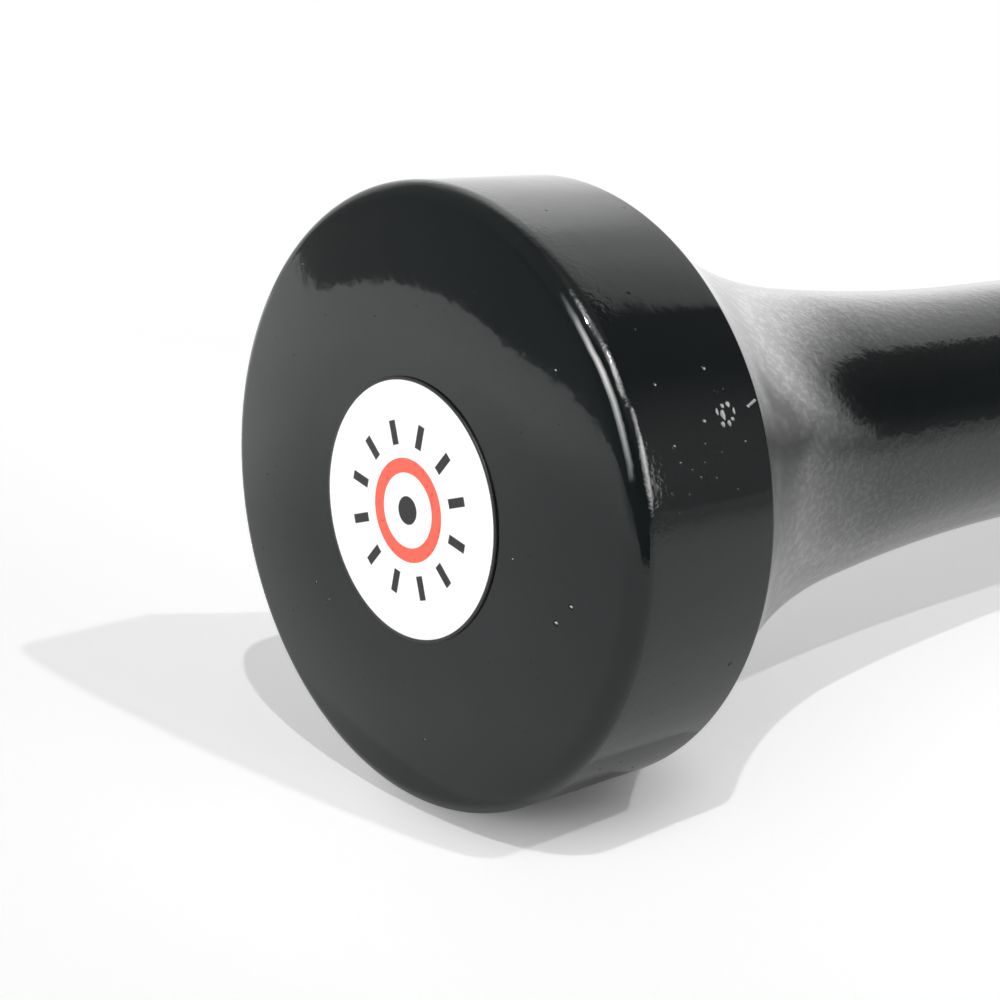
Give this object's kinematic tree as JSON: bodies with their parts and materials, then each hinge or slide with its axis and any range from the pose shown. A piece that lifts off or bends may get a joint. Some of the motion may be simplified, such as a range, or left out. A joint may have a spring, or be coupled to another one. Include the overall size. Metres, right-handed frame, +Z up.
{
  "type": "swing trainer stick",
  "caption": "Slim round stick for training a batter's swing: puck-shaped knob with a round sticker, flare, straight grip, long taper and cylindrical barrel, lacquered black.",
  "frame": {"origin": "centre of the knob's end, on the outer face of the sticker", "axes": "+X along the stick's axis from the knob to the tip of the barrel, +Z up as the stick lies"},
  "size_m": [0.8382, 0.052, 0.0518],
  "materials": {
    "black_lacquer": "gloss black lacquer over turned hardwood, with a faint orange peel and small chips",
    "white_vinyl": "satin printed vinyl"
  },
  "bodies": {
    "root": {"turned_stick": "black_lacquer", "knob_sticker": "white_vinyl"}
  },
  "joints": []
}
